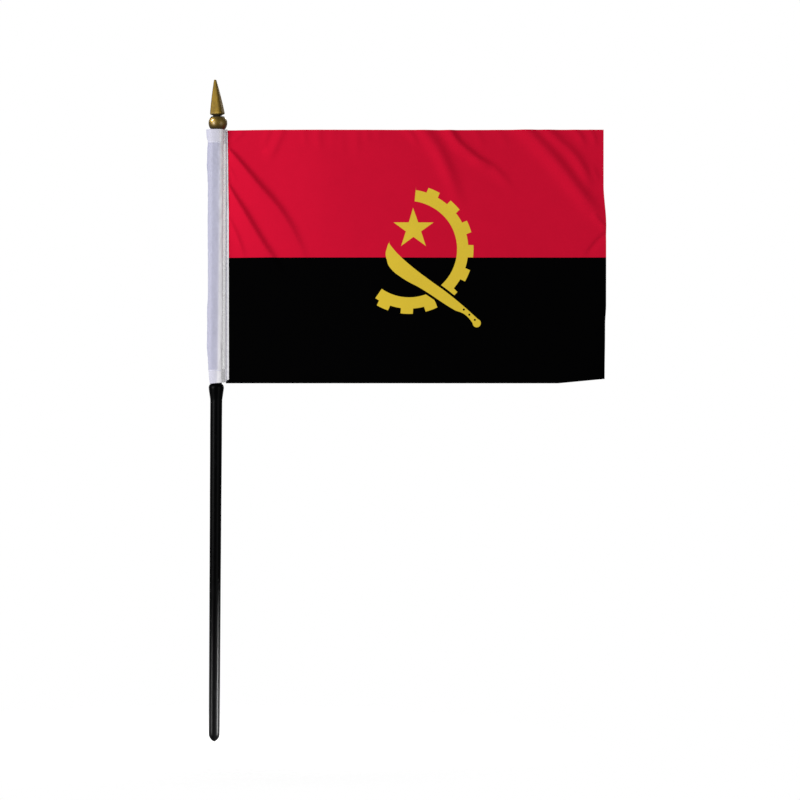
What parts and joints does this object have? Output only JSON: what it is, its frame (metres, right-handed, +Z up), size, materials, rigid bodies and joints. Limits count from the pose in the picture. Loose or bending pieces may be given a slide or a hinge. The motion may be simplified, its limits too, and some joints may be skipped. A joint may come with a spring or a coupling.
{
  "type": "desk stick flag",
  "caption": "Small printed cloth flag with a sewn white sleeve on a black plastic staff, held between a flared collar and a gold ball and spear finial.",
  "frame": {"origin": "tip of the staff's foot, on the staff's axis", "axes": "+Z up the staff; the flag flies towards +X; the flag's front faces -Y"},
  "size_m": [0.1612, 0.0074, 0.2667],
  "materials": {
    "black_plastic": "moulded gloss black",
    "gold_plastic": "metallised gold on plastic",
    "white_cloth": "thin white woven polyester",
    "printed_cloth": "printed woven polyester",
    "white_thread": "spun sewing thread"
  },
  "bodies": {
    "staff": {"staff": "black_plastic"},
    "flag": {"sleeve": "white_cloth", "flag_cloth": "printed_cloth", "seam_needle_thread": "white_thread", "seam_bobbin_thread": "white_thread", "top_hem_needle_thread": "white_thread", "top_hem_bobbin_thread": "white_thread", "bottom_hem_needle_thread": "white_thread", "bottom_hem_bobbin_thread": "white_thread"},
    "finial": {"finial_ball": "gold_plastic", "finial_spear": "gold_plastic"}
  },
  "joints": [
    {"name": "flag_turn", "type": "hinge", "parent": "staff", "child": "flag", "pos_m": [0, 0, 0.1445], "axis": [0, 0, 1], "continuous": true},
    {"name": "finial_pull", "type": "slide", "parent": "staff", "child": "finial", "axis": [0, 0, 1], "range_m": [0, 0.006]}
  ]
}
